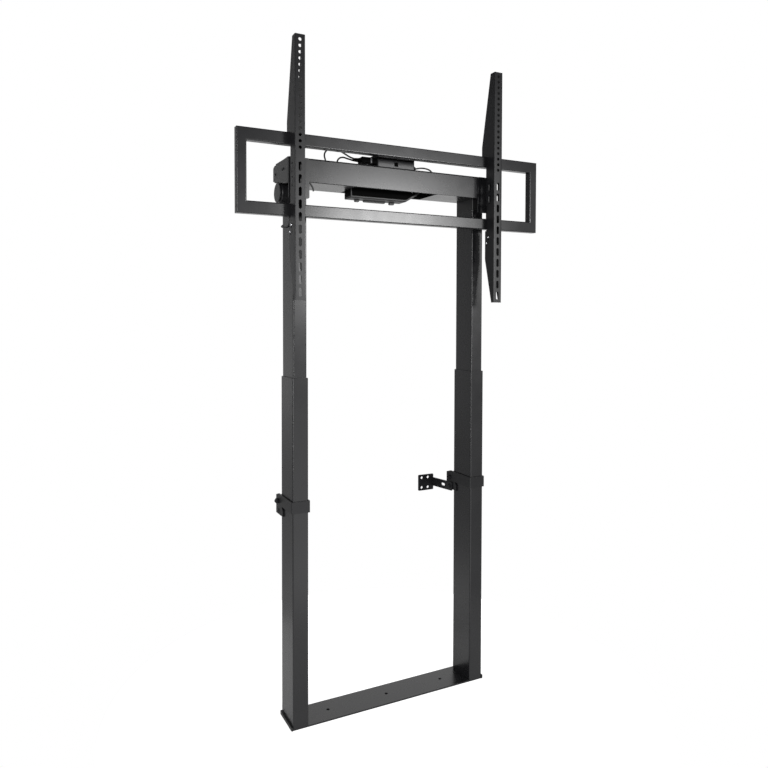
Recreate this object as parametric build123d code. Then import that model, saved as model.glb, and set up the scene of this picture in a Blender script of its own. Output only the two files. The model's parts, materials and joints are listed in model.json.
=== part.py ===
from build123d import *
import math
import os

# Motorized TV stand: two telescopic lifting columns on a base plate carry a drive beam,
# a rail frame and two sliding TV brackets. Millimetres, +Z up, X across, -Y to the viewer.
# The origin is the centre of the base plate's underside, on the floor.

# Columns
COLUMN_PITCH = 536.0          # column centre to column centre
OUTER_W, OUTER_D = 42.0, 90.0  # outer tube section, across and deep
INNER_W, INNER_D = 36.0, 84.0  # inner tube section
TUBE_WALL = 2.0
TUBE_CORNER = 3.5             # outside corner radius of both tubes
OUTER_TOP = 900.0             # height of the outer tube's mouth
INNER_TOP = 1360.0            # height of the inner tube's head, as extended here
INNER_LENGTH = 852.0
RUN_GAP = 0.3                 # play between pieces that slide on each other
FIT_GAP = 0.1                 # play of a bolt or plug in its hole
SHAFT_GAP = 0.05              # radial play of a shaft in its bearing

# Base
PLATE_T = 4.0
PLATE_HOLE_R = 4.5
PLATE_HOLE_PITCH = 175.0
TRIM_T, TRIM_H, TRIM_LIP = 4.5, 9.0, 1.0

# Guides and drive inside the columns
BUSH_H = 42.0
SHOE_H = 45.0
PUSH_OD, PUSH_ID = 26.0, 20.0
PUSH_TOP = 850.0
NUT_H = 32.0
SCREW_R = 7.0
SCREW_LENGTH = 560.0          # below the gear case
CASE_H = 30.0                 # gear case above the tube's head
CASE_PLUG = 16.0              # plug of the gear case inside the tube
CASE_WALL = 2.5
WHEEL_R, WHEEL_H, WHEEL_TEETH = 14.2, 8.0, 12
WHEEL_LIFT = 10.0             # worm wheel above the case's floor
WORM_R, WORM_LENGTH, WORM_PITCH = 6.0, 24.0, 4.0
SHAFT_R = 3.0
MOTOR_R = 27.0
MOTOR_LENGTH = 14.5
MOTOR_BELL_R, MOTOR_BELL_H = 25.4, 5.5
MOTOR_OFFSET = 5.5            # motor's middle behind its output shaft
CASE_SCREW_Y = (-30.0, -16.0)
CASE_SCREW_UP = (8.0, 21.0)   # above the tube's head
CASE_SCREW_R, CASE_SCREW_H = 3.2, 5.0

# Drive beam: a folded channel, open at the back
BEAM_H = 60.0
BEAM_D = 116.0
BEAM_FRONT = 64.0             # front face ahead of the columns' mid-depth
BEAM_OVERHANG = 38.0          # beyond the column's centre
BEAM_T = 2.0
BEAM_CHAMFER = 13.0
BEAM_LIP_LOW, BEAM_LIP_TOP = 14.0, 6.0  # upright parts of the return lips
BEAM_MOUTH_L, BEAM_MOUTH_R = 124.0, 120.0  # cut-out of the bottom flange, left and right of centre
BEAM_MOUTH_BACK = 34.0        # rear edge of the cut-out
END_PLATE_T = 2.0
END_PLATE_INSET = 3.0         # its front edge behind the beam's web
END_PLATE_BACK = 56.0         # its rear edge behind the columns' mid-depth
END_PLATE_SAG, END_PLATE_RISE = 5.5, 16.0  # lower corners: front below, rear above the beam's underside
END_PLATE_SLOPE, END_PLATE_CUT = 5.0, 9.0  # fall of the top edge, corner cut behind it

# Rail frame
FRAME_W = 882.0
FRAME_H = 202.0
FRAME_BOTTOM = 1300.0
RAIL_H, RAIL_D, RAIL_WALL = 30.0, 22.0, 1.5
FRAME_END_W = 24.0
UPRIGHT_W = 24.0
UPRIGHT_X = 290.0
MOUNT_W, MOUNT_H, MOUNT_T = 54.0, 100.0, 3.0
MOUNT_DROP = 41.0             # mount plate below the beam
MOUNT_CORNER = 5.0

# TV brackets
BRACKET_W = 26.0
BRACKET_T = 2.5
BRACKET_X = (-296.5, 280.0)
BRACKET_RISE, BRACKET_LENGTH = 225.0, 631.5  # top above the frame, whole length
RAIL_STANDOFF = 34.0          # bracket face ahead of the rails' face
FLANGE_TOP_D, FLANGE_HOOK_D, FLANGE_LOW_D, FLANGE_END_D = 20.0, 55.0, 42.0, 11.0
FLANGE_TAPER_TOP = 195.0      # length of the upper taper
FLANGE_TAPER_END = 122.0      # length of the lower taper
HOOK_TOOTH_T, HOOK_TOOTH_H = 3.0, 8.0
HOLE_R = 4.1
HOLE_COUNT, HOLE_PITCH = 18, 15.0
TOP_HOLE_DROP = 12.0
SLOT_COUNT, SLOT_PITCH, SLOT_L = 11, 30.0, 22.0
SIDE_SLOT_W, SIDE_SLOT_L = 10.0, 25.0
SIDE_SLOT_Z = (82.0, 114.5)   # side slots above the frame's underside, lower first
SIDE_SLOT_BACK = 21.5         # side slots behind the face
LOCK_T, LOCK_W, LOCK_H = 3.0, 18.0, 48.0
LOCK_TRAVEL = 6.0
LOCK_SCREW_AT = ((27.0, 22.0), (35.0, 38.0))  # behind the face, below the frame
LOCK_SCREW_R, LOCK_HEAD_R, LOCK_HEAD_H = 2.0, 3.2, 2.4

# Wall clamps
STRAP_T, STRAP_H = 3.0, 30.0
STRAP_SIDE_GAP = 0.8          # between the strap's sides and the tube
STRAP_CORNER = 3.0
CLAMP_Z = (557.0, 565.0)      # strap's lower edge, left and right
EAR_REACH = 77.5              # ears' rear edge behind the columns' mid-depth
EAR_SHOULDER, EAR_FALL = 57.0, 6.5  # where the ears' top edge starts to fall, and by how much
EAR_FRONT = 25.0              # front edge of the ears' lower part
EAR_DROP = 25.0
BOLT_R, BOLT_HEAD_R, BOLT_HEAD_H = 4.0, 6.5, 5.0
BOLT_TAIL = 2.5               # bolt end beyond its nut
CLAMP_BOLT_Y, CLAMP_BOLT_UP = 62.0, 9.5
PIVOT_Y, PIVOT_DROP = 58.0, 16.5
PIVOT_HEAD_H = 1.6
ARM_T, ARM_H = 3.0, 26.0
ARM_END = 14.0                # arm's end ahead of its pivot
ARM_FALL = 7.5                # from the pivot to the wall plate's middle, as shown
ARM_SLOT_AT, ARM_SLOT_L = 35.5, 22.0  # from the pivot
WALL_Y = 158.0                # the plate's rear face
WALL_PLATE_W, WALL_PLATE_H = 53.0, 49.0
WALL_HOLE_R, WALL_HOLE_DX, WALL_HOLE_DZ = 4.0, 21.7, 30.6
WALL_HOLE_EDGE = 22.7         # plate's free edge to the pattern's centre

# Electric parts
BOX_L, BOX_R, BOX_D, BOX_H, LID_H = 42.0, 71.0, 60.0, 28.0, 14.0
BOX_FRONT = 25.0              # box front ahead of the columns' mid-depth
POWER_L, POWER_R, POWER_D = 118.0, 91.0, 42.0
POWER_FRONT = 20.0
POWER_DROP = 20.0             # power unit below the beam
POWER_CHAMFER = 26.0
FEET = ((-92.0, -80.0, 5.0), (-66.0, -2.0, 4.0), (12.0, 26.0, 6.0))  # left and right end, height
FOOT_D, FOOT_BACK = 8.0, 4.0  # depth, and set in from the unit's back
CORD_R = 2.1
CORD_HOLE_R = 7.0
PLUG_L, PLUG_W, PLUG_H = 46.0, 12.0, 16.0
PLUG_LIFT, GLAND_LIFT = 22.0, 12.0  # above the beam
GLAND_H = 5.0
BOOT_L, BOOT_R = 20.0, 4.0

# Places worked out from the sizes above
COLUMN_X = COLUMN_PITCH / 2
PLATE_W = COLUMN_PITCH + OUTER_W
CASE_TOP = INNER_TOP + CASE_H
BEAM_BOTTOM = CASE_TOP
BEAM_TOP = BEAM_BOTTOM + BEAM_H
BEAM_END = COLUMN_X + BEAM_OVERHANG
BEAM_BACK = BEAM_D - BEAM_FRONT
FRAME_TOP = FRAME_BOTTOM + FRAME_H
BRACKET_TOP = FRAME_TOP + BRACKET_RISE
RAIL_BACK_Y = -BEAM_FRONT - MOUNT_T
RAIL_FRONT_Y = RAIL_BACK_Y - RAIL_D
FACE_Y = RAIL_FRONT_Y - RAIL_STANDOFF
WORM_Y = WHEEL_R + WORM_R + RUN_GAP
WHEEL_Z = INNER_TOP + WHEEL_LIFT
WORM_Z = WHEEL_Z + WHEEL_H / 2
SIDES = (("left", -1), ("right", 1))


def block(x0, x1, y0, y1, z0, z1):
    """A box between two corners."""
    return Pos((x0 + x1) / 2, (y0 + y1) / 2, (z0 + z1) / 2) * Box(abs(x1 - x0), abs(y1 - y0), abs(z1 - z0))


def rod_z(x, y, z0, z1, r):
    return Pos(x, y, (z0 + z1) / 2) * Cylinder(r, z1 - z0)


def rod_x(x0, x1, y, z, r):
    return Pos((x0 + x1) / 2, y, z) * Rot(0, 90, 0) * Cylinder(r, abs(x1 - x0))


def rod_y(x, y0, y1, z, r):
    return Pos(x, (y0 + y1) / 2, z) * Rot(90, 0, 0) * Cylinder(r, abs(y1 - y0))


def yz_plate(points, x0, x1, corner=0.0):
    """A plate of constant thickness along X, from its outline in Y and Z."""
    face = make_face(Plane.YZ * Polyline(*points, close=True))
    if corner:
        face = fillet(face.vertices(), corner)
    return Pos(min(x0, x1), 0, 0) * extrude(face, abs(x1 - x0), dir=(1, 0, 0))


def xz_plate(points, y0, y1):
    """A plate of constant thickness along Y, from its outline in X and Z."""
    return Pos(0, min(y0, y1), 0) * extrude(make_face(Plane.XZ * Polyline(*points, close=True)),
                                             abs(y1 - y0), dir=(0, 1, 0))


def upright_tube(x, w, d, wall, corner, z0, z1):
    """A rectangular tube standing on z0, with rounded corners."""
    ring = RectangleRounded(w, d, corner) - RectangleRounded(w - 2 * wall, d - 2 * wall, corner - wall)
    return Pos(x, 0, z0) * extrude(ring, z1 - z0)


def sleeve(x, w_out, d_out, corner, wall, z0, z1):
    return upright_tube(x, w_out, d_out, wall, corner, z0, z1)


def slot_y(x, z, y0, y1, width, length):
    """An upright obround cutter along Y."""
    return Pos(x, max(y0, y1), z) * extrude(Plane.XZ * SlotOverall(length, width, rotation=90), abs(y1 - y0))


def slot_x(x0, x1, y, z, width, length):
    """An upright obround cutter along X."""
    return Pos(min(x0, x1), y, z) * extrude(Plane.YZ * SlotOverall(length, width, rotation=90), abs(x1 - x0))


def base_plate():
    plate = block(-PLATE_W / 2, PLATE_W / 2, -OUTER_D / 2, OUTER_D / 2, 0, PLATE_T)
    for x in (-PLATE_HOLE_PITCH, 0, PLATE_HOLE_PITCH):
        plate -= rod_z(x, 0, -1, PLATE_T + 1, PLATE_HOLE_R)
    return plate


def base_end_trim():
    trims = []
    for _, s in SIDES:
        x0 = s * PLATE_W / 2
        trim = block(x0, x0 + s * TRIM_T, -OUTER_D / 2 - TRIM_LIP, OUTER_D / 2 + TRIM_LIP, 0, TRIM_H)
        outer_edge = trim.faces().sort_by(Axis.X)[0 if s < 0 else -1].edges().filter_by(Axis.Z)
        trims.append(fillet(outer_edge, TRIM_T * 0.6))
    return Compound(children=trims)


def outer_tube(s):
    return upright_tube(s * COLUMN_X, OUTER_W, OUTER_D, TUBE_WALL, TUBE_CORNER, PLATE_T, OUTER_TOP)


def inner_tube(s):
    return upright_tube(s * COLUMN_X, INNER_W, INNER_D, TUBE_WALL, TUBE_CORNER,
                        INNER_TOP - INNER_LENGTH, INNER_TOP)


def guide_bush(s):
    """Plastic sleeve in the outer tube's mouth; the inner tube runs in it."""
    w, d = OUTER_W - 2 * TUBE_WALL, OUTER_D - 2 * TUBE_WALL
    wall = (w - INNER_W) / 2 - RUN_GAP
    return sleeve(s * COLUMN_X, w, d, TUBE_CORNER - TUBE_WALL, wall, OUTER_TOP - BUSH_H, OUTER_TOP)


def slide_shoe(s):
    """Plastic sleeve round the inner tube's foot; it runs in the outer tube."""
    w = OUTER_W - 2 * TUBE_WALL - 2 * RUN_GAP
    d = OUTER_D - 2 * TUBE_WALL - 2 * RUN_GAP
    z0 = INNER_TOP - INNER_LENGTH
    outer = Pos(s * COLUMN_X, 0, z0) * extrude(RectangleRounded(w, d, TUBE_CORNER - TUBE_WALL), SHOE_H)
    inner = Pos(s * COLUMN_X, 0, z0) * extrude(RectangleRounded(INNER_W, INNER_D, TUBE_CORNER), SHOE_H)
    return outer - inner


def push_tube(s):
    x = s * COLUMN_X
    return rod_z(x, 0, PLATE_T, PUSH_TOP, PUSH_OD / 2) - rod_z(x, 0, PLATE_T, PUSH_TOP, PUSH_ID / 2)


def spindle_nut(s):
    x = s * COLUMN_X
    nut = rod_z(x, 0, PUSH_TOP, PUSH_TOP + NUT_H, PUSH_OD / 2)
    nut += rod_z(x, 0, PUSH_TOP - CASE_PLUG, PUSH_TOP, PUSH_ID / 2)
    return nut - rod_z(x, 0, PUSH_TOP - CASE_PLUG - 1, PUSH_TOP + NUT_H + 1, SCREW_R + SHAFT_GAP)


def gear_case(s):
    """Head of the inner tube: a plug in the tube and a box that holds the worm drive."""
    x = s * COLUMN_X
    plug_w, plug_d = INNER_W - 2 * TUBE_WALL - 2 * FIT_GAP, INNER_D - 2 * TUBE_WALL - 2 * FIT_GAP
    case = Pos(x, 0, INNER_TOP) * extrude(RectangleRounded(INNER_W, INNER_D, TUBE_CORNER), CASE_H)
    case += Pos(x, 0, INNER_TOP - CASE_PLUG) * extrude(RectangleRounded(plug_w, plug_d, 1.5), CASE_PLUG)
    floor = WHEEL_Z - 2 * RUN_GAP
    case -= rod_z(x, 0, floor, CASE_TOP + 1, WHEEL_R + 2 * RUN_GAP)
    pocket = WORM_LENGTH / 2 + 2 * RUN_GAP
    reach = WORM_R + 2 * RUN_GAP
    case -= block(x - pocket, x + pocket, WORM_Y - reach - RUN_GAP, WORM_Y + reach, WORM_Z - reach,
                  CASE_TOP + 1)
    case -= rod_z(x, 0, INNER_TOP - CASE_PLUG - 1, floor + 1, SCREW_R + SHAFT_GAP)
    far = INNER_W / 2
    case -= rod_x(x - s * (pocket + 2), x + s * (far + 1), WORM_Y, WORM_Z, SHAFT_R + SHAFT_GAP)
    for y in (-CASE_BOLT_Y, CASE_BOLT_Y):
        case -= rod_z(x, y, CASE_TOP - CASE_H * 0.6, CASE_TOP + 1, CASE_BOLT_R)
    return case


def worm(s):
    """Worm on the motor's shaft."""
    x = s * COLUMN_X
    half = WORM_LENGTH / 2
    body = rod_x(x - half, x + half, WORM_Y, WORM_Z, WORM_R)
    for i in range(int(WORM_LENGTH / WORM_PITCH)):
        at = x - half + WORM_PITCH * (i + 0.5)
        body -= rod_x(at - WORM_PITCH / 4, at + WORM_PITCH / 4, WORM_Y, WORM_Z, WORM_R + 1) - \
            rod_x(at - WORM_PITCH, at + WORM_PITCH, WORM_Y, WORM_Z, WORM_R - 1.2)
    shaft_in = x - s * (half + 1.5)
    shaft_out = x + s * (INNER_W / 2 + MOTOR_LENGTH * 0.6)
    return body + rod_x(shaft_in, shaft_out, WORM_Y, WORM_Z, SHAFT_R)


def worm_wheel(s):
    x = s * COLUMN_X
    root = WHEEL_R - 2.0
    wheel = rod_z(x, 0, WHEEL_Z, WHEEL_Z + WHEEL_H, root)
    tooth = math.pi * root / WHEEL_TEETH
    for i in range(WHEEL_TEETH):
        # the tooth's outer corners stay inside the wheel's running circle
        tip = math.sqrt(WHEEL_R ** 2 - (tooth / 2) ** 2)
        bar = Pos((root - 1 + tip) / 2, 0, 0) * Box(tip - root + 1, tooth, WHEEL_H)
        wheel += Pos(x, 0, WHEEL_Z + WHEEL_H / 2) * Rot(0, 0, i * 360 / WHEEL_TEETH) * bar
    return wheel - rod_z(x, 0, WHEEL_Z - 1, WHEEL_Z + WHEEL_H + 1, SCREW_R)


def lead_screw(s):
    x = s * COLUMN_X
    bottom = INNER_TOP - CASE_PLUG - SCREW_LENGTH
    screw = rod_z(x, 0, bottom, WHEEL_Z + WHEEL_H, SCREW_R)
    return chamfer(screw.faces().sort_by(Axis.Z)[0].edges(), 1.5)


def motor(s):
    """Flat motor on the outer side of the gear case, with its end bell."""
    x0 = s * (COLUMN_X + INNER_W / 2)
    x1 = x0 + s * MOTOR_LENGTH
    middle = WORM_Y + MOTOR_OFFSET
    can = rod_x(x0, x1, middle, WORM_Z, MOTOR_R)
    can = fillet(can.edges().filter_by(GeomType.CIRCLE).sort_by(Axis.X)[0 if s < 0 else -1], 3.0)
    bell = rod_x(x1, x1 + s * MOTOR_BELL_H, middle, WORM_Z, MOTOR_BELL_R)
    bell = fillet(bell.edges().filter_by(GeomType.CIRCLE).sort_by(Axis.X)[0 if s < 0 else -1], 1.5)
    bore = rod_x(x0 - s, x0 + s * MOTOR_LENGTH * 0.7, WORM_Y, WORM_Z, SHAFT_R + SHAFT_GAP)
    return can + bell - bore


def beam_outline(front, inset=0.0):
    """Closed section of the beam in Y and Z, with both back corners cut off."""
    c = BEAM_CHAMFER
    i, k = inset, inset * math.tan(math.pi / 8)
    back, cut = BEAM_BACK - i, BEAM_BACK - c - k
    return [(front + i, BEAM_BOTTOM + i), (cut, BEAM_BOTTOM + i), (back, BEAM_BOTTOM + c + k),
            (back, BEAM_TOP - c - k), (cut, BEAM_TOP - i), (front + i, BEAM_TOP - i)]


def drive_beam():
    half = BEAM_END - END_PLATE_T
    beam = yz_plate(beam_outline(-BEAM_FRONT), -half, half) - \
        yz_plate(beam_outline(-BEAM_FRONT, BEAM_T), -half, half)
    mouth_low = BEAM_BOTTOM + BEAM_CHAMFER + BEAM_LIP_LOW
    mouth_high = BEAM_TOP - BEAM_CHAMFER - BEAM_LIP_TOP
    beam -= block(-half, half, BEAM_BACK - 2 * BEAM_T, BEAM_BACK + 1, mouth_low, mouth_high)
    inside = -BEAM_FRONT + BEAM_T
    beam -= block(-BEAM_MOUTH_L, BEAM_MOUTH_R, inside, BEAM_MOUTH_BACK, BEAM_BOTTOM - 1,
                  BEAM_BOTTOM + BEAM_T + 1)
    for _, s in SIDES:
        edge = s * (COLUMN_X + INNER_W / 2 - 1)
        beam -= block(edge, s * BEAM_END, inside, BEAM_BACK + 1, BEAM_BOTTOM - 1, BEAM_BOTTOM + BEAM_CHAMFER)
        for y in (-CASE_BOLT_Y, CASE_BOLT_Y):
            beam -= rod_z(s * COLUMN_X, y, BEAM_BOTTOM - 1, BEAM_BOTTOM + BEAM_T + 1, CASE_BOLT_R + FIT_GAP)
        for z in MOUNT_BOLT_Z:
            beam -= rod_y(s * UPRIGHT_X, -BEAM_FRONT - 1, inside + 1, z, BOLT_R + FIT_GAP)
    for x, y in CORD_HOLES:
        beam -= rod_z(x, y, BEAM_TOP - BEAM_T - 1, BEAM_TOP + 1, CORD_HOLE_R)
    return beam


def beam_end_plate(s):
    """Closes the beam's end; its lower edge rises to the back and leaves room for the motor."""
    front = -BEAM_FRONT + END_PLATE_INSET
    outline = [(front, BEAM_BOTTOM - END_PLATE_SAG), (END_PLATE_BACK, BEAM_BOTTOM + END_PLATE_RISE),
               (END_PLATE_BACK, BEAM_TOP - END_PLATE_SLOPE * 2),
               (END_PLATE_BACK - END_PLATE_CUT, BEAM_TOP - END_PLATE_SLOPE),
               (front, BEAM_TOP)]
    return yz_plate(outline, s * (BEAM_END - END_PLATE_T), s * BEAM_END, corner=2.0)


def mount_plate(s):
    """Joins the beam's face to the frame's upright."""
    x1 = s * BEAM_END
    plate = block(x1 - s * MOUNT_W, x1, RAIL_BACK_Y, -BEAM_FRONT, BEAM_BOTTOM - MOUNT_DROP,
                  BEAM_BOTTOM - MOUNT_DROP + MOUNT_H)
    inner = [e for e in plate.edges().filter_by(Axis.Y) if abs(e.center().X) < BEAM_END - MOUNT_W + 1]
    plate = fillet(inner, MOUNT_CORNER)
    for z in MOUNT_BOLT_Z:
        plate -= rod_y(s * UPRIGHT_X, RAIL_BACK_Y - 1, -BEAM_FRONT + 1, z, BOLT_R + FIT_GAP)
    return plate


def rail_tube(z0, z1, x0, x1):
    """Rectangular tube along X with rounded corners."""
    h = z1 - z0
    ring = RectangleRounded(RAIL_D, h, 2.5) - \
        RectangleRounded(RAIL_D - 2 * RAIL_WALL, h - 2 * RAIL_WALL, 1.0)
    tube = extrude(Plane.YZ * ring, x1 - x0)
    return Pos(x0, (RAIL_FRONT_Y + RAIL_BACK_Y) / 2, (z0 + z1) / 2) * tube


def frame_rail(top):
    """Top or bottom rail of the frame, its ends mitred."""
    half, inner = FRAME_W / 2, FRAME_W / 2 - FRAME_END_W
    outer_z = FRAME_TOP if top else FRAME_BOTTOM
    inner_z = FRAME_TOP - RAIL_H if top else FRAME_BOTTOM + RAIL_H
    rail = rail_tube(min(outer_z, inner_z), max(outer_z, inner_z), -half, half)
    keep = xz_plate([(-half, outer_z), (half, outer_z), (inner, inner_z), (-inner, inner_z)],
                    RAIL_FRONT_Y - 1, RAIL_BACK_Y + 1)
    return rail & keep


def frame_end(s):
    """End member of the frame, mitred to the rails."""
    half, inner = s * FRAME_W / 2, s * (FRAME_W / 2 - FRAME_END_W)
    y = (RAIL_FRONT_Y + RAIL_BACK_Y) / 2
    ring = RectangleRounded(FRAME_END_W, RAIL_D, 2.5) - \
        RectangleRounded(FRAME_END_W - 2 * RAIL_WALL, RAIL_D - 2 * RAIL_WALL, 1.0)
    tube = Pos((half + inner) / 2, y, FRAME_BOTTOM) * extrude(ring, FRAME_H)
    keep = xz_plate([(half, FRAME_BOTTOM), (half, FRAME_TOP), (inner, FRAME_TOP - RAIL_H),
                     (inner, FRAME_BOTTOM + RAIL_H)], RAIL_FRONT_Y - 1, RAIL_BACK_Y + 1)
    middle = (FRAME_BOTTOM + FRAME_TOP) / 2
    return (tube & keep) - rod_x(half - s * 2 * RAIL_WALL, half + s, y, middle, 2.5)


def frame_upright(s):
    """Upright between the rails; the mount plate is bolted to its back."""
    ring = RectangleRounded(UPRIGHT_W, RAIL_D, 2.5) - \
        RectangleRounded(UPRIGHT_W - 2 * RAIL_WALL, RAIL_D - 2 * RAIL_WALL, 1.0)
    z0, z1 = FRAME_BOTTOM + RAIL_H, FRAME_TOP - RAIL_H
    tube = Pos(s * UPRIGHT_X, (RAIL_FRONT_Y + RAIL_BACK_Y) / 2, z0) * extrude(ring, z1 - z0)
    for z in MOUNT_BOLT_Z:
        tube -= rod_y(s * UPRIGHT_X, RAIL_BACK_Y - 2 * RAIL_WALL, RAIL_BACK_Y + 1, z, BOLT_R + FIT_GAP)
    return tube


def beam_bolts():
    """Bolts from the beam into the uprights and down into the gear cases."""
    bolts = []
    inside = -BEAM_FRONT + BEAM_T
    for _, s in SIDES:
        for z in MOUNT_BOLT_Z:
            head = rod_y(s * UPRIGHT_X, inside, inside + BOLT_HEAD_H, z, BOLT_HEAD_R)
            bolts.append(head + rod_y(s * UPRIGHT_X, RAIL_BACK_Y - RAIL_D * 0.6, inside, z, BOLT_R))
        for y in (-CASE_BOLT_Y, CASE_BOLT_Y):
            z = BEAM_BOTTOM + BEAM_T
            head = rod_z(s * COLUMN_X, y, z, z + BOLT_HEAD_H, BOLT_HEAD_R)
            bolts.append(head + rod_z(s * COLUMN_X, y, CASE_TOP - CASE_H * 0.6, z, CASE_BOLT_R))
    return Compound(children=bolts)


def flange_outline():
    """Side view of a bracket's flange in Y and Z: it hooks over the top rail and fits round both rails."""
    face, top = FACE_Y, BRACKET_TOP
    low = BRACKET_TOP - BRACKET_LENGTH
    rail_front = RAIL_FRONT_Y - RUN_GAP
    rail_top, rail_low = FRAME_TOP + RUN_GAP, FRAME_BOTTOM - RUN_GAP
    tooth_front = RAIL_BACK_Y + RUN_GAP
    tooth_back = tooth_front + HOOK_TOOTH_T
    relief = 4.0
    return [(face, low), (face, top), (face + FLANGE_TOP_D, top), (tooth_back, top - FLANGE_TAPER_TOP),
            (tooth_back, rail_top - HOOK_TOOTH_H), (tooth_front, rail_top - HOOK_TOOTH_H),
            (tooth_front, rail_top),
            (rail_front, rail_top), (rail_front, rail_low), (rail_front - relief, rail_low),
            (rail_front - relief, rail_low - relief), (face + FLANGE_LOW_D, rail_low - relief),
            (face + FLANGE_LOW_D, low + FLANGE_TAPER_END), (face + FLANGE_END_D, low)]


def lock_screw_places():
    """Both lock screws of a bracket: y and z."""
    return [(FACE_Y + back, FRAME_BOTTOM - down) for back, down in LOCK_SCREW_AT]


def tv_bracket(x):
    """Channel with a perforated face and two tapered flanges."""
    half = BRACKET_W / 2
    low = BRACKET_TOP - BRACKET_LENGTH
    body = yz_plate(flange_outline(), x - half, x + half)
    inner = half - BRACKET_T
    body -= block(x - inner, x + inner, FACE_Y + BRACKET_T, 0, low - 1, BRACKET_TOP + 1)
    z = BRACKET_TOP - TOP_HOLE_DROP
    front, back = FACE_Y - 1, FACE_Y + BRACKET_T + 1
    for i in range(HOLE_COUNT):
        body -= rod_y(x, front, back, z - i * HOLE_PITCH, HOLE_R)
    first_slot = z - (HOLE_COUNT + 2) * HOLE_PITCH
    for i in range(SLOT_COUNT):
        body -= slot_y(x, first_slot - i * SLOT_PITCH, front, back, 2 * HOLE_R, SLOT_L)
    for dz in SIDE_SLOT_Z:
        body -= slot_x(x - half - 1, x + half + 1, FACE_Y + SIDE_SLOT_BACK, FRAME_BOTTOM + dz,
                       SIDE_SLOT_W, SIDE_SLOT_L)
    for y, zs in lock_screw_places():
        body -= slot_x(x - half - 1, x - inner + 1, y, zs - LOCK_TRAVEL / 2, 2 * (LOCK_SCREW_R + RUN_GAP),
                       LOCK_TRAVEL + 2 * (LOCK_SCREW_R + RUN_GAP))
    upright = [e for e in body.edges().filter_by(Axis.Z) if e.center().Y < FACE_Y + 0.1]
    ends = [e for e in upright if abs(e.center().X - x) > half - 0.1]
    return fillet(ends, 2.0)


def lock_plate(x):
    """Plate inside the left flange that closes on the bottom rail's underside."""
    side = x - BRACKET_W / 2 + BRACKET_T + RUN_GAP
    back = FACE_Y + FLANGE_LOW_D - 1.0
    top = FRAME_BOTTOM - RUN_GAP
    plate = block(side, side + LOCK_T, back - LOCK_W, back, top - LOCK_H, top)
    for y, z in lock_screw_places():
        plate -= rod_x(side - 1, side + LOCK_T + 1, y, z, LOCK_SCREW_R + FIT_GAP / 2)
    return fillet(plate.edges().filter_by(Axis.X), 3.0)


def lock_screws(x):
    side = x - BRACKET_W / 2
    screws = []
    for y, z in lock_screw_places():
        head = rod_x(side - RUN_GAP - LOCK_HEAD_H, side - RUN_GAP, y, z, LOCK_HEAD_R)
        shank = rod_x(side - RUN_GAP, side + BRACKET_T + RUN_GAP + LOCK_T + 2, y, z, LOCK_SCREW_R)
        screws.append(head + shank)
    return Compound(children=screws)


def clamp_strap(s, z0):
    """U-shaped strap round the outer tube, with ears behind it."""
    x = s * COLUMN_X
    inner_x = OUTER_W / 2 + STRAP_SIDE_GAP
    outer_x = inner_x + STRAP_T
    front = -OUTER_D / 2 - RUN_GAP - STRAP_T
    z1 = z0 + STRAP_H
    low = z0 - EAR_DROP
    cut = EAR_DROP / 3
    side = [(front, z0), (front, z1), (EAR_SHOULDER, z1), (EAR_REACH, z1 - EAR_FALL), (EAR_REACH, low),
            (EAR_FRONT, low), (EAR_FRONT, z0 - cut), (EAR_FRONT + cut, z0)]
    body = yz_plate(side, x - outer_x, x + outer_x)
    body -= block(x - inner_x, x + inner_x, front + STRAP_T, WALL_Y, low - 1, z1 + 1)
    body = fillet([e for e in body.edges().filter_by(Axis.Z) if e.center().Y < front + 0.1],
                  STRAP_CORNER)
    for y, z in ((CLAMP_BOLT_Y, z0 + CLAMP_BOLT_UP), (PIVOT_Y, z0 - PIVOT_DROP)):
        body -= rod_x(x - outer_x - 1, x + outer_x + 1, y, z, BOLT_R + FIT_GAP)
    return body


def clamp_back(s, z0):
    """Folded plate that closes the strap behind the tube."""
    x = s * COLUMN_X
    half = OUTER_W / 2 + STRAP_SIDE_GAP
    y0 = OUTER_D / 2 + RUN_GAP
    return block(x - half, x + half, y0, y0 + STRAP_T, z0, z0 + STRAP_H)


def clamp_bolts(s, z0):
    """Clamp bolt with its nut on the outer side, and pivot rivet with a washer on the arm's side."""
    x = s * COLUMN_X
    ear = OUTER_W / 2 + STRAP_SIDE_GAP + STRAP_T
    y, z = CLAMP_BOLT_Y, z0 + CLAMP_BOLT_UP
    nut_end = ear + BOLT_HEAD_R
    head = rod_x(x - s * (ear + BOLT_HEAD_H), x - s * ear, y, z, BOLT_HEAD_R)
    bolt = head + rod_x(x - s * ear, x + s * (nut_end + BOLT_TAIL), y, z, BOLT_R)
    hexagon = extrude(Plane.YZ * RegularPolygon(BOLT_HEAD_R * 1.12, 6), nut_end - ear)
    nut = Pos(x + ear if s > 0 else x - nut_end, y, z) * hexagon
    nut -= rod_x(x + s * (ear - 1), x + s * (nut_end + 1), y, z, BOLT_R)
    y, z = PIVOT_Y, z0 - PIVOT_DROP
    grip = ear + ARM_T + 2 * RUN_GAP
    rivet = rod_x(x + s * ear, x + s * (ear + PIVOT_HEAD_H), y, z, BOLT_HEAD_R)
    rivet += rod_x(x + s * ear, x - s * (grip + PIVOT_HEAD_H + BOLT_TAIL), y, z, BOLT_R)
    washer = rod_x(x - s * grip, x - s * (grip + PIVOT_HEAD_H), y, z, BOLT_HEAD_R)
    washer -= rod_x(x - s * (grip - 1), x - s * (grip + PIVOT_HEAD_H + 1), y, z, BOLT_R)
    return Compound(children=[bolt, nut, rivet, washer])


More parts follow.
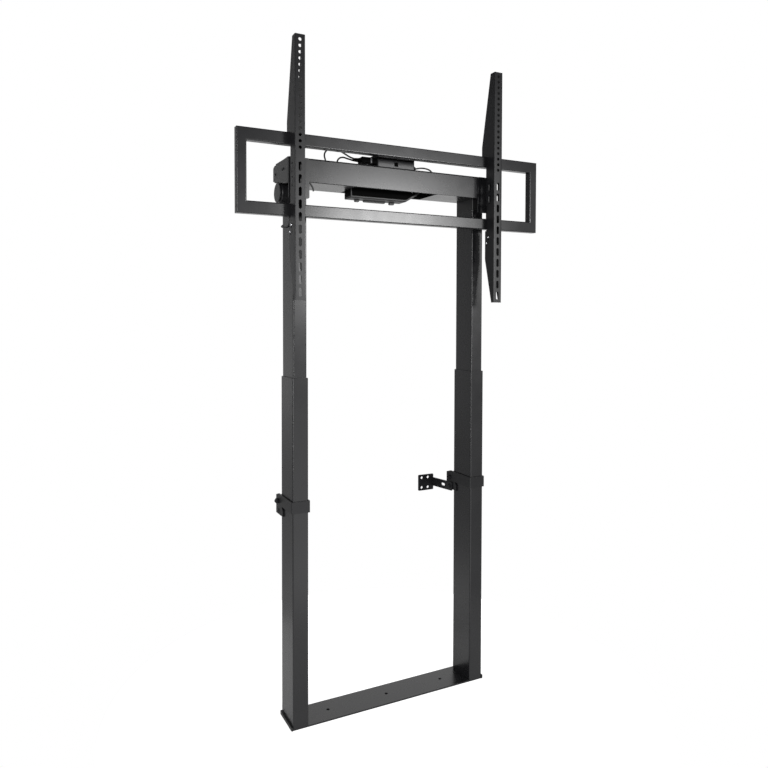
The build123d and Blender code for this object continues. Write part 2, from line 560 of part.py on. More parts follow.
def wall_arm(s, z0):
    """Bent plate: an arm that falls a little from its pivot, and an upright plate for the wall."""
    z = z0 - PIVOT_DROP
    near = s * (COLUMN_X - (OUTER_W / 2 + STRAP_SIDE_GAP + STRAP_T + RUN_GAP))
    far = near - s * ARM_T
    lo, hi = min(near, far), max(near, far)
    slope = ARM_FALL / (WALL_Y - PIVOT_Y)
    front, wall = (PIVOT_Y - ARM_END, z + slope * ARM_END), (WALL_Y, z - ARM_FALL)
    outline = [(y, m - ARM_H / 2) for y, m in (front, wall)] + [(y, m + ARM_H / 2) for y, m in (wall, front)]
    arm = yz_plate(outline, lo, hi)
    arm = fillet([e for e in arm.edges().filter_by(Axis.X) if e.center().Y < PIVOT_Y], ARM_T)
    slot = Plane.YZ * SlotOverall(ARM_SLOT_L, 2 * WALL_HOLE_R)
    slot = Pos(lo - 1, ARM_SLOT_AT, 0) * extrude(slot, ARM_T + 2)
    arm -= Pos(0, PIVOT_Y, z) * Rot(-math.degrees(math.atan(slope)), 0, 0) * slot
    low = z - ARM_FALL
    plate_far = near - s * WALL_PLATE_W
    plate = block(near, plate_far, WALL_Y - ARM_T, WALL_Y, low - WALL_PLATE_H / 2, low + WALL_PLATE_H / 2)
    plate = fillet(plate.edges().filter_by(Axis.Y), ARM_T)
    body = arm + plate
    middle = plate_far + s * WALL_HOLE_EDGE
    for dx in (-WALL_HOLE_DX / 2, WALL_HOLE_DX / 2):
        for dz in (-WALL_HOLE_DZ / 2, WALL_HOLE_DZ / 2):
            body -= rod_y(middle + dx, WALL_Y - ARM_T - 1, WALL_Y + 1, low + dz, WALL_HOLE_R)
    return body - rod_x(lo - 1, hi + 1, PIVOT_Y, z, BOLT_R + SHAFT_GAP)


def control_box():
    box = block(-BOX_L, BOX_R, -BOX_FRONT, BOX_D - BOX_FRONT, BEAM_TOP, BEAM_TOP + BOX_H)
    return fillet(box.edges().filter_by(Axis.Z), 3.0)


def control_lid():
    z = BEAM_TOP + BOX_H
    lid = block(-BOX_L, BOX_R, -BOX_FRONT, BOX_D - BOX_FRONT, z, z + LID_H)
    lid = fillet(lid.edges().filter_by(Axis.Z), 3.0)
    return chamfer(lid.faces().sort_by(Axis.Z)[-1].edges(), 2.0)


def control_plugs():
    """Two plugs with their boots in the box's left end, and a gland in its right end."""
    plugs = []
    end = -BOX_L - PLUG_L
    for y in PLUG_Y:
        plug = block(-BOX_L, end, y - PLUG_W / 2, y + PLUG_W / 2, PLUG_Z - PLUG_H / 2, PLUG_Z + PLUG_H / 2)
        plug = chamfer(plug.faces().sort_by(Axis.X)[0].edges(), 2.5)
        boot = rod_x(end - BOOT_L, end, y, PLUG_Z, BOOT_R)
        boot -= rod_x(end - BOOT_L - 1, end - 2, y, PLUG_Z, CORD_R)
        plugs.append(plug + boot)
    y, z = GLAND
    gland = rod_x(BOX_R, BOX_R + GLAND_H, y, z, BOOT_R) - rod_x(BOX_R + 1, BOX_R + GLAND_H + 1, y, z, CORD_R)
    plugs.append(gland)
    return Compound(children=plugs)


def power_unit():
    """Supply unit in the beam's mouth, hung from the top flange; its right end slopes up."""
    z0, z1 = BEAM_BOTTOM - POWER_DROP, BEAM_TOP - BEAM_T
    shape = [(-POWER_L, z0), (POWER_R - POWER_CHAMFER * 1.7, z0), (POWER_R, z0 + POWER_CHAMFER),
             (POWER_R, z1), (-POWER_L, z1)]
    unit = xz_plate(shape, -POWER_FRONT, POWER_D - POWER_FRONT)
    return chamfer(unit.faces().sort_by(Axis.Z)[0].edges().filter_by(Axis.X), 2.0)


def power_unit_feet():
    z = BEAM_BOTTOM - POWER_DROP
    feet = []
    back = POWER_D - POWER_FRONT - FOOT_BACK
    for x0, x1, drop in FEET:
        foot = block(x0, x1, back - FOOT_D, back, z - drop, z)
        feet.append(chamfer(foot.faces().sort_by(Axis.Z)[0].edges().filter_by(Axis.Y), 1.5))
    return Compound(children=feet)


def gear_case_screws():
    """Cap screws on the outer side of each gear case, ahead of the motor."""
    screws = []
    for _, s in SIDES:
        x = s * (COLUMN_X + INNER_W / 2)
        for y in CASE_SCREW_Y:
            for up in CASE_SCREW_UP:
                screws.append(rod_x(x, x + s * CASE_SCREW_H, y, INNER_TOP + up, CASE_SCREW_R))
    return Compound(children=screws)


def cord(name, points, r=CORD_R):
    """A lead along straight runs joined by tangent arcs, as large as the runs allow."""
    pts = [Vector(*p) for p in points]
    radii = []
    for a, b, c in zip(pts, pts[1:], pts[2:]):
        turn = math.radians((b - a).get_angle(c - b))
        radii.append(0.45 * min((b - a).length, (c - b).length) / math.tan(turn / 2))
    path = FilletPolyline(*points, radius=radii)
    tube = sweep(Plane(origin=path @ 0, z_dir=path % 0) * Circle(r), path=path)
    print(name, "length", round(path.length, 1), "radii", [round(v, 1) for v in radii],
          "volume ratio", round(tube.volume / (math.pi * r * r * path.length), 4))
    return tube


CASE_BOLT_Y = 31.0
CASE_BOLT_R = 3.0
MOUNT_BOLT_Z = (BEAM_BOTTOM + 15.0, BEAM_TOP - 15.0)
PLUG_Z = BEAM_TOP + PLUG_LIFT
PLUG_Y = (-18.0, -2.0)
GLAND = (-20.0, BEAM_TOP + GLAND_LIFT)
CORD_HOLES = ((-192.0, -25.0), (-159.0, -23.0), (133.0, -25.0))

# Run of a motor's lead on the left side; x is mirrored for the right one up to the beam.
MOTOR_LEAD = [(-293, 26, 1347.8), (-296, 27, 1334.5), (-299.5, 22.5, 1321.3), (-298.5, 9.5, 1314.9),
              (-294, -2.2, 1314.6), (-288.7, -17.8, 1314.4), (-288.6, -26, 1300.2), (-288.6, -17.8, 1286),
              (-288.6, 2, 1285.8), (-288.8, 20, 1286.2), (-289.6, 34, 1287.5), (-287.5, 45, 1291),
              (-279, 52, 1296), (-270, 54, 1307), (-266, 56, 1325), (-264.5, 58.5, 1350), (-266.5, 58, 1376),
              (-265, 60, 1400), (-261, 59, 1416), (-251, 48, 1425), (-236, 30, 1424.5)]
LEFT_END = [(-219, 3, 1425), (-204, -16, 1426), (-194, -25, 1438), (-191, -25, 1456), (-197, -25, 1472),
            (-189, -25, 1486), (-172, -25, 1490), (-152, -25, 1487), (-134, -22, 1480), (-119, -19, 1474),
            (-106, -18, 1472)]
RIGHT_END = [(211, 4, 1425), (182, -14, 1423), (155, -23, 1426), (138, -25, 1436), (131, -25, 1451),
             (121, -24, 1463), (105, -21, 1467), (88, -20, 1466), (74, -20, 1462)]
POWER_LEAD = [(-116.5, -2, 1420), (-134, -4, 1419), (-150, -12, 1424), (-159, -20, 1438), (-159, -20, 1456),
              (-151, -14, 1470), (-136, -8, 1476), (-120, -4, 1473.5), (-106, -2, 1472)]

PARTS = {
    "base_plate": base_plate(),
    "base_end_trim": base_end_trim(),
    "drive_beam": drive_beam(),
    "rail_top": frame_rail(True),
    "rail_bottom": frame_rail(False),
    "beam_bolts": beam_bolts(),
    "gear_case_screws": gear_case_screws(),
    "control_box": control_box(),
    "control_lid": control_lid(),
    "control_plugs": control_plugs(),
    "power_unit": power_unit(),
    "power_unit_feet": power_unit_feet(),
    "motor_lead_left": cord("motor_lead_left", MOTOR_LEAD + LEFT_END),
    "motor_lead_right": cord("motor_lead_right", [(-x, y, z) for x, y, z in MOTOR_LEAD] + RIGHT_END),
    "power_lead": cord("power_lead", POWER_LEAD),
}
BOTH_SIDES = {
    "outer_tube": outer_tube, "inner_tube": inner_tube, "guide_bush": guide_bush, "slide_shoe": slide_shoe,
    "push_tube": push_tube, "spindle_nut": spindle_nut, "gear_case": gear_case, "motor": motor,
    "lead_screw": lead_screw, "worm_wheel": worm_wheel, "worm": worm, "beam_end_plate": beam_end_plate,
    "mount_plate": mount_plate, "frame_end": frame_end, "frame_upright": frame_upright,
}
for (side, s), x, z0 in zip(SIDES, BRACKET_X, CLAMP_Z):
    for name, make in BOTH_SIDES.items():
        PARTS[f"{name}_{side}"] = make(s)
    for name, make in (("tv_bracket", tv_bracket), ("lock_plate", lock_plate), ("lock_screws", lock_screws)):
        PARTS[f"{name}_{side}"] = make(x)
    for name, make in (("clamp_strap", clamp_strap), ("clamp_back", clamp_back),
                       ("clamp_bolts", clamp_bolts), ("wall_arm", wall_arm)):
        PARTS[f"{name}_{side}"] = make(s, z0)

os.makedirs("parts", exist_ok=True)
for node, shape in PARTS.items():
    export_step(shape, f"parts/{node}.step")
print(len(PARTS), "nodes")
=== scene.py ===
import json
import math

import bmesh
import bpy
from mathutils import Matrix, Vector


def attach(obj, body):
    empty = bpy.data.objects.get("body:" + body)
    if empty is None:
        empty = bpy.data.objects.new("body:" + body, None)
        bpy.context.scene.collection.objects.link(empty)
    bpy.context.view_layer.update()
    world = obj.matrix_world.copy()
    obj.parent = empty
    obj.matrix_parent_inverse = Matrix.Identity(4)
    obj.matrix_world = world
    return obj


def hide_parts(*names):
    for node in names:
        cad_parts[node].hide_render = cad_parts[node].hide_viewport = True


# Motorized TV stand: two telescopic columns on a base plate lift a beam, a rail frame and two TV brackets.
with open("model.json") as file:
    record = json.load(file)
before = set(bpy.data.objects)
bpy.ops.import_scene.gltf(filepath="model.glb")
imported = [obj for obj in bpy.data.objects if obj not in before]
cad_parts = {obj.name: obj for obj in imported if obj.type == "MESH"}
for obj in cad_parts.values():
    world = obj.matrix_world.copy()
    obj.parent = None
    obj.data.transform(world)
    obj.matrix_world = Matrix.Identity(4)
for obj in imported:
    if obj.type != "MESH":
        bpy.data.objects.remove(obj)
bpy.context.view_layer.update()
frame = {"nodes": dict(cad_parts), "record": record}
NODES = frame["nodes"]
SCENE = bpy.context.scene
MM = 0.001


def mm(*p):
    """A point in millimetres as a vector in metres."""
    return Vector(p) * MM


# Helpers for materials
def linear(hex_colour):
    """sRGB hex to a linear RGBA colour."""
    channels = [int(hex_colour[i:i + 2], 16) / 255 for i in (1, 3, 5)]
    return tuple(c / 12.92 if c <= 0.04045 else ((c + 0.055) / 1.055) ** 2.4 for c in channels) + (1.0,)


def per_mm(size_mm):
    """Scale of a pattern on Object coordinates whose detail is size_mm across."""
    return 1000.0 / size_mm


def add(tree, kind, inputs=None, stops=(), **settings):
    """Adds a node with its settings. An input takes a value, a socket, or a node for its first output.

    The stops of a colour ramp are pairs of a position and a colour."""
    node = tree.nodes.new(kind)
    for key, value in settings.items():
        setattr(node, key, value)
    for key, value in (inputs or {}).items():
        if isinstance(value, bpy.types.Node):
            value = value.outputs[0]
        if isinstance(value, bpy.types.NodeSocket):
            tree.links.new(value, node.inputs[key])
        else:
            node.inputs[key].default_value = value
    if stops:
        for position, _ in stops[1:-1]:
            node.color_ramp.elements.new(position)
        for element, (position, colour) in zip(node.color_ramp.elements, stops):
            element.position, element.color = position, colour
    return node


def start_material(name):
    """A material with an empty node tree, and its object coordinates."""
    material = bpy.data.materials.new(name)
    material.use_nodes = True
    tree = material.node_tree
    tree.nodes.clear()
    return material, tree, add(tree, "ShaderNodeTexCoord").outputs["Object"]


# The clouding of a finish goes from its dark to its light colour between these values of the noise.
CLOUD_LOW, CLOUD_HIGH = 0.3, 0.7


def finish(name, dark, light, cloud_mm, grain_mm, grain_depth_mm, rough, metallic=0.0, ior=1.5,
           wave_mm=0.0, wave_depth_mm=0.0):
    """A surface with slow colour clouding, slow gloss change and a fine grain in its bump."""
    material, tree, place = start_material(name)
    cloud = add(tree, "ShaderNodeTexNoise", {"Vector": place, "Scale": per_mm(cloud_mm), "Detail": 4.0,
                                             "Roughness": 0.55})
    colour = add(tree, "ShaderNodeValToRGB", {"Fac": cloud},
                 stops=((CLOUD_LOW, linear(dark)), (CLOUD_HIGH, linear(light))))
    gloss = add(tree, "ShaderNodeMapRange", {"Value": cloud, "From Min": CLOUD_LOW, "From Max": CLOUD_HIGH,
                                             "To Min": rough[0], "To Max": rough[1]})
    grain = add(tree, "ShaderNodeTexNoise", {"Vector": place, "Scale": per_mm(grain_mm), "Detail": 3.0,
                                             "Roughness": 0.6})
    bump = add(tree, "ShaderNodeBump", {"Height": grain, "Distance": grain_depth_mm * MM, "Strength": 1.0})
    if wave_mm:
        wave = add(tree, "ShaderNodeTexNoise", {"Vector": place, "Scale": per_mm(wave_mm), "Detail": 2.0})
        slow = add(tree, "ShaderNodeBump", {"Height": wave, "Distance": wave_depth_mm * MM, "Strength": 1.0})
        tree.links.new(slow.outputs["Normal"], bump.inputs["Normal"])
    shader = add(tree, "ShaderNodeBsdfPrincipled", {"Base Color": colour, "Roughness": gloss, "Normal": bump,
                                                    "Metallic": metallic, "IOR": ior})
    add(tree, "ShaderNodeOutputMaterial", {"Surface": shader})
    return material


# Powder coat on steel: near black but never quite flat, satin, with the slow orange peel of cured powder.
POWDER_COAT = finish("powder_coated_steel", "#101012", "#151517", cloud_mm=60, grain_mm=1.2,
                     grain_depth_mm=0.003, rough=(0.25, 0.29), wave_mm=9, wave_depth_mm=0.012)
# The same powder, cured duller on the small pressings: TV brackets, clamps, wall arms and lock plates.
DULL_POWDER = finish("dull_powder_coated_steel", "#0f0f11", "#141416", cloud_mm=60, grain_mm=1.2,
                     grain_depth_mm=0.008, rough=(0.33, 0.38), ior=1.42, wave_mm=9, wave_depth_mm=0.030)
# Moulded ABS: spark-eroded grain, flatter and a little browner than the coat.
BLACK_ABS = finish("moulded_abs", "#0f0f10", "#151516", cloud_mm=40, grain_mm=0.9,
                   grain_depth_mm=0.030, rough=(0.42, 0.50))
# Lid and plug bodies: the same plastic from a rougher tool, with painted shade: its colour is darkened and
# its IOR lowered for the shade the top rail casts on the lid, so it shows as a deeper black.
ROUGH_ABS_IN_SHADE = finish("rough_abs_painted_shade", "#060606", "#090909", cloud_mm=30, grain_mm=0.8,
                   grain_depth_mm=0.030, rough=(0.55, 0.65), ior=1.10)
# The control box's shell: ABS from a polished tool, satin and a little greyer.
SATIN_ABS = finish("satin_moulded_abs", "#1f1f21", "#262628", cloud_mm=50, grain_mm=1.4,
                   grain_depth_mm=0.012, rough=(0.30, 0.36))
# Painted shade: a matt near-black sheet on the supply unit, darker than its black plastic and with a low
# IOR, so it gives back next to nothing where the unit sits in the shade of the beam's mouth. The control
# box's recess is painted with it as well.
PAINTED_SHADE_SHEET = finish("painted_shade_black_sheet", "#030303", "#050505", cloud_mm=25, grain_mm=0.6,
                   grain_depth_mm=0.010, rough=(0.50, 0.58), ior=1.08)
# Mid grey moulded nylon of the plugs' collars, with a faint sheen.
GREY_NYLON = finish("grey_nylon", "#606163", "#6c6d6f", cloud_mm=8, grain_mm=0.7,
                    grain_depth_mm=0.012, rough=(0.42, 0.50))
# Moulded rubber of the grommet: matt, with no highlight of its own. Its near-black also paints the shade
# line on the beam's underside.
BLACK_RUBBER = finish("black_rubber", "#0b0b0b", "#101010", cloud_mm=10, grain_mm=0.8,
                      grain_depth_mm=0.020, rough=(0.62, 0.72))
# Acetal guides: machined smooth and slightly waxy.
BLACK_ACETAL = finish("acetal_guides", "#151515", "#1a1a1a", cloud_mm=30, grain_mm=2.0,
                      grain_depth_mm=0.008, rough=(0.36, 0.44), ior=1.48)
# Phosphated steel screws: dull dark grey metal with a fine crystal grain.
BLACK_BOLTS = finish("phosphated_screws", "#2a2a2c", "#38383a", cloud_mm=6, grain_mm=0.5,
                     grain_depth_mm=0.015, rough=(0.38, 0.5), metallic=0.8)
# Enamel on the motors' cans: smoother and glossier than powder.
MOTOR_PAINT = finish("motor_enamel", "#131315", "#1b1b1d", cloud_mm=30, grain_mm=3.0,
                     grain_depth_mm=0.012, rough=(0.28, 0.36))
# Bright zinc plate on steel: pale and shiny.
ZINC = finish("bright_zinc", "#c8c9cc", "#dcdde0", cloud_mm=4, grain_mm=0.6,
              grain_depth_mm=0.006, rough=(0.2, 0.3), metallic=1.0)
# Turned steel of lead screw and push tube, shiny under thin grease.
TURNED_STEEL = finish("turned_steel", "#8e8f92", "#a6a7aa", cloud_mm=12, grain_mm=0.7,
                      grain_depth_mm=0.010, rough=(0.24, 0.34), metallic=1.0)
# Machined brass of nut and wheel: yellow and shiny.
BRASS = finish("machined_brass", "#a9894b", "#c0a05e", cloud_mm=8, grain_mm=0.8,
               grain_depth_mm=0.008, rough=(0.25, 0.35), metallic=1.0)
# Extruded PVC jacket of the leads: deep black with a soft sheen.
PVC_LEAD = finish("pvc_lead", "#070708", "#0b0b0c", cloud_mm=15, grain_mm=1.0,
                  grain_depth_mm=0.010, rough=(0.42, 0.50))

SLOT_FINISH = {"black_steel": POWDER_COAT, "black_plastic": BLACK_ABS, "guide_plastic": BLACK_ACETAL,
               "motor_metal": MOTOR_PAINT, "black_bolts": BLACK_BOLTS, "bare_steel": TURNED_STEEL,
               "brass": BRASS, "zinc": ZINC, "cord": PVC_LEAD}
DULL_PIECES = ("tv_bracket", "clamp", "wall_arm", "lock_plate")
OWN_FINISH = {"control_box": SATIN_ABS, "control_lid": ROUGH_ABS_IN_SHADE}
for part in frame["record"]["subparts"]:
    node, slot = part["node"], part["material_slot"]
    dull = slot == "black_steel" and node.startswith(DULL_PIECES)
    NODES[node].data.materials.clear()
    NODES[node].data.materials.append(DULL_POWDER if dull else OWN_FINISH.get(node, SLOT_FINISH[slot]))

# Camera: fitted to the photograph's own corners and edges
CAMERA_PLACE = mm(-872.04, -1703.97, 1061.37)
YAW, PITCH, ROLL = math.radians(26.85), math.radians(-1.63), math.radians(0.13)
FOCAL_PX, CENTRE_X_PX, CENTRE_Y_PX, IMAGE_PX, SENSOR_MM = 695.97, 383.99, 334.4, 768, 36.0
forward = Vector((math.sin(YAW) * math.cos(PITCH), math.cos(YAW) * math.cos(PITCH), math.sin(PITCH)))
level = Vector((math.cos(YAW), -math.sin(YAW), 0.0))
upright = level.cross(forward)
right = level * math.cos(ROLL) + upright * math.sin(ROLL)
upward = upright * math.cos(ROLL) - level * math.sin(ROLL)
camera_data = bpy.data.cameras.new("photo_camera")
camera_data.sensor_width = SENSOR_MM
camera_data.lens = FOCAL_PX / IMAGE_PX * SENSOR_MM
camera_data.shift_x = -(CENTRE_X_PX - IMAGE_PX / 2) / IMAGE_PX
camera_data.shift_y = (CENTRE_Y_PX - IMAGE_PX / 2) / IMAGE_PX
camera_data.clip_start, camera_data.clip_end = 0.05, 100.0
camera = bpy.data.objects.new("photo_camera", camera_data)
SCENE.collection.objects.link(camera)
aim = Matrix((right, upward, -forward)).transposed().to_4x4()
camera.matrix_world = Matrix.Translation(CAMERA_PLACE) @ aim
SCENE.camera = camera

# World: a white background, and a dimmer fill for the light that bounces
SCENE.view_settings.view_transform = "Standard"
WHITE = linear("#ffffff")
FILL = 0.5
world = bpy.data.worlds.new("studio")
SCENE.world = world
world.use_nodes = True
sky = world.node_tree
sky.nodes.clear()


def seen_as_white(tree):
    """1 for camera, glossy and transmission rays, which see the background as plain white."""
    path = add(tree, "ShaderNodeLightPath")
    either = add(tree, "ShaderNodeMath", {0: path.outputs["Is Camera Ray"],
                                          1: path.outputs["Is Transmission Ray"]}, operation="MAXIMUM")
    return add(tree, "ShaderNodeMath", {0: either, 1: path.outputs["Is Glossy Ray"]}, operation="MAXIMUM")


fill = add(sky, "ShaderNodeBackground", {"Color": WHITE, "Strength": FILL})
backdrop = add(sky, "ShaderNodeBackground", {"Color": WHITE, "Strength": 1.0})
both = add(sky, "ShaderNodeMixShader", {0: seen_as_white(sky), 1: fill, 2: backdrop})
add(sky, "ShaderNodeOutputWorld", {"Surface": both})


def softbox(name, place, target, width, height, brightness):
    """An area lamp that gloss mirrors at so many times white; the camera doesn't see it."""
    data = bpy.data.lights.new(name, "AREA")
    data.shape, data.size, data.size_y = "RECTANGLE", width, height
    data.energy = brightness * math.pi * width * height
    thing = bpy.data.objects.new(name, data)
    SCENE.collection.objects.link(thing)
    thing.location = place
    thing.rotation_mode = "QUATERNION"
    thing.rotation_quaternion = (Vector(target) - Vector(place)).to_track_quat("-Z", "Y")
    thing.visible_camera = False


# The softbox lights the faces towards the TV side, and the strip the columns' left faces and their corners.
softbox("front_softbox", place=(1.10, -2.40, 1.49), target=(0.0, -0.1, 1.28),
        width=0.60, height=0.50, brightness=42.0)
softbox("left_strip", place=(-2.1, -1.6, 1.15), target=(-0.3, 0.0, 1.0),
        width=0.45, height=1.7, brightness=20.0)


def stage_piece(name, mesh, material):
    """A piece of the studio, which is no part of the stand."""
    data = bpy.data.meshes.new(name)
    mesh.to_mesh(data)
    mesh.free()
    data.materials.append(material)
    # Gloss finds the glowing studio by itself, so no light samples go to it, which leaves less speckle.
    material.cycles.emission_sampling = "NONE"
    thing = bpy.data.objects.new(name, data)
    SCENE.collection.objects.link(thing)
    return thing


# Floor: round paper that glows towards the camera, up to the background's white at its edge. Under the base
# plate it is painted shade: dark and without glow, where the plate's floor holes show it.
FLOOR_R, FLOOR_DOWN, FLOOR_STEPS = 0.75, 0.0005, 96
PAPER, PAPER_IN_PAINTED_SHADE = linear("#e9e9e9"), linear("#202020")
GLOW_NEAR, GLOW_NEAR_R, GLOW_FULL_R, GLOW_IN_GLOSS = 0.64, 0.35, FLOOR_R * 0.97, 0.05
floor_paper, tree, place = start_material("pale_floor_paper")
split = add(tree, "ShaderNodeSeparateXYZ", {"Vector": place})
within = []
for axis, half_plate in (("X", 0.285), ("Y", 0.044)):
    off_centre = add(tree, "ShaderNodeMath", {0: split.outputs[axis]}, operation="ABSOLUTE")
    within.append(add(tree, "ShaderNodeMath", {0: off_centre, 1: half_plate}, operation="LESS_THAN"))
covered = add(tree, "ShaderNodeMath", {0: within[0], 1: within[1]}, operation="MULTIPLY")
out = add(tree, "ShaderNodeVectorMath", {0: place}, operation="LENGTH").outputs["Value"]
open_glow = add(tree, "ShaderNodeMapRange", {"Value": out, "From Min": GLOW_NEAR_R, "From Max": GLOW_FULL_R,
                                             "To Min": GLOW_NEAR, "To Max": 1.0})
glow = add(tree, "ShaderNodeMapRange", {"Value": covered, "To Min": open_glow, "To Max": 0.0})
glossy = add(tree, "ShaderNodeLightPath").outputs["Is Glossy Ray"]
strength = add(tree, "ShaderNodeMapRange", {"Value": glossy, "To Min": glow, "To Max": GLOW_IN_GLOSS})
colour = add(tree, "ShaderNodeValToRGB", {"Fac": covered}, stops=((0.0, PAPER), (1.0, PAPER_IN_PAINTED_SHADE)))
paper = add(tree, "ShaderNodeBsdfPrincipled", {"Base Color": colour, "Roughness": 0.6})
shine = add(tree, "ShaderNodeEmission", {"Color": WHITE, "Strength": strength})
lit = add(tree, "ShaderNodeAddShader", {0: paper, 1: shine})
shown = add(tree, "ShaderNodeMixShader", {0: seen_as_white(tree), 1: paper, 2: lit})
add(tree, "ShaderNodeOutputMaterial", {"Surface": shown})
disc = bmesh.new()
bmesh.ops.create_circle(disc, cap_ends=True, segments=FLOOR_STEPS, radius=FLOOR_R,
                        matrix=Matrix.Translation((0, 0, -FLOOR_DOWN)))
stage_piece("floor", disc, floor_paper)

# Beyond the white background, gloss mirrors the grey walls, the floor and the dim ceiling of the studio.
# Levels by direction start at -Y and go by -X, +Y and +X back to -Y. Those by reach go out from the stand.
ROOM_R, ROOM_H, ROOM_STEPS = 6.0, 6.0, 64
WALL_ROUND = [(0.0, 0.50), (0.10, 0.50), (0.15, 0.40), (0.18, 0.03), (0.396, 0.03), (0.404, 0.50),
              (0.5, 0.50), (0.60, 0.45), (0.75, 0.42), (1.0, 0.50)]
WALL_FADE_FROM, WALL_FADE_TO, WALL_TOP_LEVEL = 0.8, 4.0, 0.35
CEILING_LEVEL = 0.12
FLOOR_ROUND = [(0.0, 0.85), (0.12, 0.6), (0.25, 0.2), (0.43, 0.19), (0.6, 0.4), (0.86, 0.3), (0.905, 0.40),
               (0.935, 1.0), (1.0, 0.85)]
FLOOR_REACH = [(0.0, 1.0), (0.17, 1.0), (0.24, 0.85), (0.40, 0.70), (0.75, 0.90), (1.0, 1.0)]
FLOOR_LEVEL = 2.0


def greys(levels):
    """Ramp stops from pairs of a position and a light level."""
    return [(position, (level, level, level, 1.0)) for position, level in levels]


def by_direction(tree, split, levels):
    """Light levels by the direction from the stand's middle."""
    turn = add(tree, "ShaderNodeMath", {0: split.outputs["X"], 1: split.outputs["Y"]}, operation="ARCTAN2")
    share = add(tree, "ShaderNodeMapRange", {"Value": turn, "From Min": -math.pi, "From Max": math.pi})
    return add(tree, "ShaderNodeValToRGB", {"Fac": share}, stops=greys(levels))


def glowing(material, tree, colour, strength, name, mesh):
    """A glowing piece of the studio that only gloss sees."""
    shine = add(tree, "ShaderNodeEmission", {"Color": colour, "Strength": strength})
    add(tree, "ShaderNodeOutputMaterial", {"Surface": shine})
    thing = stage_piece(name, mesh, material)
    thing.visible_camera = thing.visible_diffuse = thing.visible_transmission = False
    thing.visible_volume_scatter = thing.visible_shadow = False


wall_paint, tree, place = start_material("studio_walls")
split = add(tree, "ShaderNodeSeparateXYZ", {"Vector": place})
fade = add(tree, "ShaderNodeMapRange", {"Value": split.outputs["Z"], "From Min": WALL_FADE_FROM,
                                        "From Max": WALL_FADE_TO, "To Min": 1.0, "To Max": WALL_TOP_LEVEL})
# The walls leave a gap for the white background. Angles go from +Y towards +X.
GAP_FROM, GAP_TO = math.radians(-12), math.radians(68)
wall_turn = math.tau - GAP_TO + GAP_FROM
room = bmesh.new()
angles = [GAP_TO + wall_turn * i / ROOM_STEPS for i in range(ROOM_STEPS + 1)]
foot = [room.verts.new((ROOM_R * math.sin(t), ROOM_R * math.cos(t), 0.0)) for t in angles]
edges = [room.edges.new(pair) for pair in zip(foot, foot[1:])]
raised = bmesh.ops.extrude_edge_only(room, edges=edges)["geom"]
bmesh.ops.translate(room, verts=[v for v in raised if isinstance(v, bmesh.types.BMVert)], vec=(0, 0, ROOM_H))
glowing(wall_paint, tree, by_direction(tree, split, WALL_ROUND), fade, "studio_walls", room)

ceiling_paint, tree, _ = start_material("studio_ceiling")
ceiling = bmesh.new()
bmesh.ops.create_circle(ceiling, cap_ends=True, segments=ROOM_STEPS, radius=ROOM_R,
                        matrix=Matrix.Translation((0, 0, ROOM_H)))
glowing(ceiling_paint, tree, WHITE, CEILING_LEVEL, "studio_ceiling", ceiling)

# The studio floor goes a little under the paper's edge. It is lit in front of the stand, dimmer behind it.
FLOOR_UNDER, FLOOR_UNDER_DOWN = 0.01, 0.002
boards, tree, place = start_material("studio_far_floor")
split = add(tree, "ShaderNodeSeparateXYZ", {"Vector": place})
out = add(tree, "ShaderNodeVectorMath", {0: place}, operation="LENGTH").outputs["Value"]
reach = add(tree, "ShaderNodeMapRange", {"Value": out, "From Max": ROOM_R})
by_reach = add(tree, "ShaderNodeValToRGB", {"Fac": reach}, stops=greys(FLOOR_REACH))
product = add(tree, "ShaderNodeMath", {0: by_direction(tree, split, FLOOR_ROUND), 1: by_reach},
              operation="MULTIPLY")
strength = add(tree, "ShaderNodeMath", {0: product, 1: FLOOR_LEVEL}, operation="MULTIPLY")
ring = bmesh.new()
for radius in (FLOOR_R - FLOOR_UNDER, ROOM_R):
    bmesh.ops.create_circle(ring, segments=ROOM_STEPS, radius=radius,
                            matrix=Matrix.Translation((0, 0, -FLOOR_UNDER_DOWN)))
bmesh.ops.bridge_loops(ring, edges=ring.edges[:])
glowing(boards, tree, WHITE, strength, "studio_far_floor", ring)

# Leads: the two motor leads share the way from a motor to the beam's end, and mirror each other there
MOTOR_LEAD = [(-293, 26, 1347.8), (-296, 27, 1334.5), (-299.5, 22.5, 1321.3), (-298.5, 9.5, 1314.9),
              (-294, -2.2, 1314.6), (-288.7, -17.8, 1314.4), (-288.6, -26, 1300.2), (-288.6, -17.8, 1286),
              (-288.6, 2, 1285.8), (-288.8, 20, 1286.2), (-289.6, 34, 1287.5), (-287.5, 45, 1291),
              (-279, 52, 1296), (-270, 54, 1307), (-266, 56, 1325), (-264.5, 58.5, 1350), (-266.5, 58, 1376),
              (-265, 60, 1400), (-261, 59, 1416), (-251, 48, 1425), (-236, 30, 1424.5)]
LEFT_END = [(-219, 3, 1425), (-204, -16, 1426), (-194, -25, 1438), (-191, -25, 1456), (-197, -25, 1472),
            (-189, -25, 1486), (-172, -25, 1490), (-152, -25, 1487), (-134, -22, 1480), (-119, -19, 1474),
            (-106, -18, 1472)]
RIGHT_END = [(211, 4, 1425), (182, -14, 1423), (155, -23, 1426), (138, -25, 1436), (131, -25, 1451),
             (121, -24, 1463), (105, -21, 1467), (88, -20, 1466), (74, -20, 1462)]
POWER_LEAD = [(-116.5, -2, 1420), (-134, -4, 1419), (-150, -12, 1424), (-159, -20, 1438), (-159, -20, 1456),
              (-151, -14, 1470), (-136, -8, 1476), (-120, -4, 1473.5), (-106, -2, 1472)]
LEAD_RADIUS_MM = 2.1


